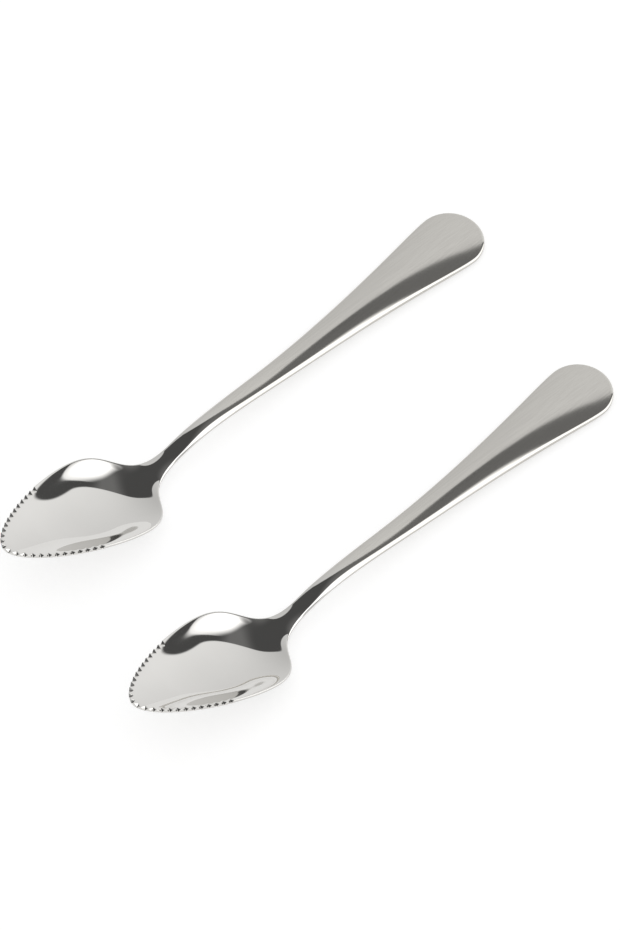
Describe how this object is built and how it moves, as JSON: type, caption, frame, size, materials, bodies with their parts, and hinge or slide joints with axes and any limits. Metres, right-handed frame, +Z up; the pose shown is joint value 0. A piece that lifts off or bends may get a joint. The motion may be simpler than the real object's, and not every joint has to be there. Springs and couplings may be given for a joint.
{
  "type": "grapefruit spoon pair",
  "caption": "Polished stainless grapefruit spoons with pointed, toothed bowls, slim necks and plain rounded handles, lying side by side, for loosening and lifting citrus segments.",
  "frame": {"origin": "on the table, under the middle of the pair's box", "axes": "+X along the spoons from tip to handle end, +Y from the front spoon to the rear spoon, +Z up"},
  "size_m": [0.175, 0.0858, 0.0198],
  "materials": {
    "polished_steel": "stainless steel, mirror-polished in the bowl and satin on the handle, with very fine lines along it"
  },
  "bodies": {
    "front_spoon": {"front_spoon": "polished_steel"},
    "rear_spoon": {"rear_spoon": "polished_steel"}
  },
  "joints": [
    {"name": "rear_spoon_lift", "type": "slide", "parent": "front_spoon", "child": "rear_spoon", "axis": [0, 0, 1], "range_m": [0, 0.06]}
  ]
}
